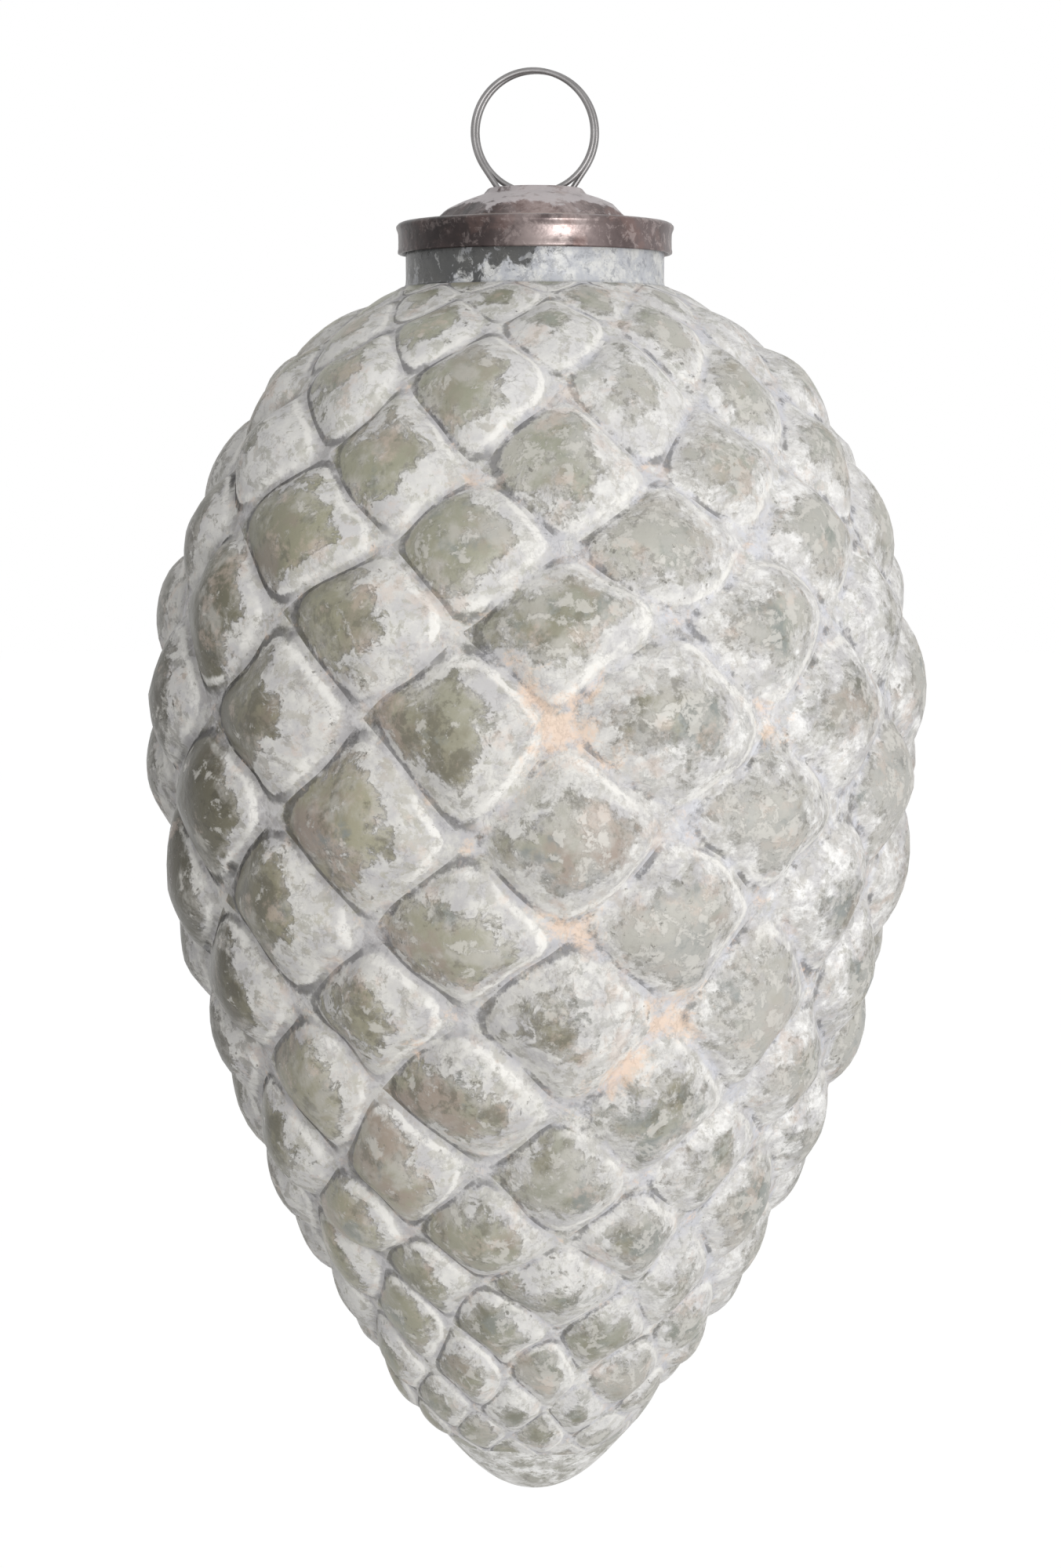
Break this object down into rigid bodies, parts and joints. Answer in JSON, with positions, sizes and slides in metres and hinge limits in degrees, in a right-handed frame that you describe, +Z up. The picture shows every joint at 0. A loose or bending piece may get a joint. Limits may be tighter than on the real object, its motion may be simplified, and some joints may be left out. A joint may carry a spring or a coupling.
{
  "type": "glass pine cone ornament",
  "caption": "Hollow glass pine cone with quilted diamond scales in staggered rows, a pressed metal cap and a sprung wire ring to hang it by.",
  "frame": {"origin": "inside top of the hanger's ring, where a hook or thread bears", "axes": "+Z up along the cone's axis, from the tip to the ring; the ring is seen face on along +Y"},
  "size_m": [0.1028, 0.1028, 0.1917],
  "materials": {
    "washed_glass": "smoky olive-brown glass under a rubbed chalky whitewash",
    "cap_metal": "aged bronze over pressed sheet, worn pale on the crown",
    "wire_metal": "darkened spring wire"
  },
  "bodies": {
    "root": {"glass_body": "washed_glass", "cap": "cap_metal", "hanger_wire": "wire_metal"}
  },
  "joints": []
}
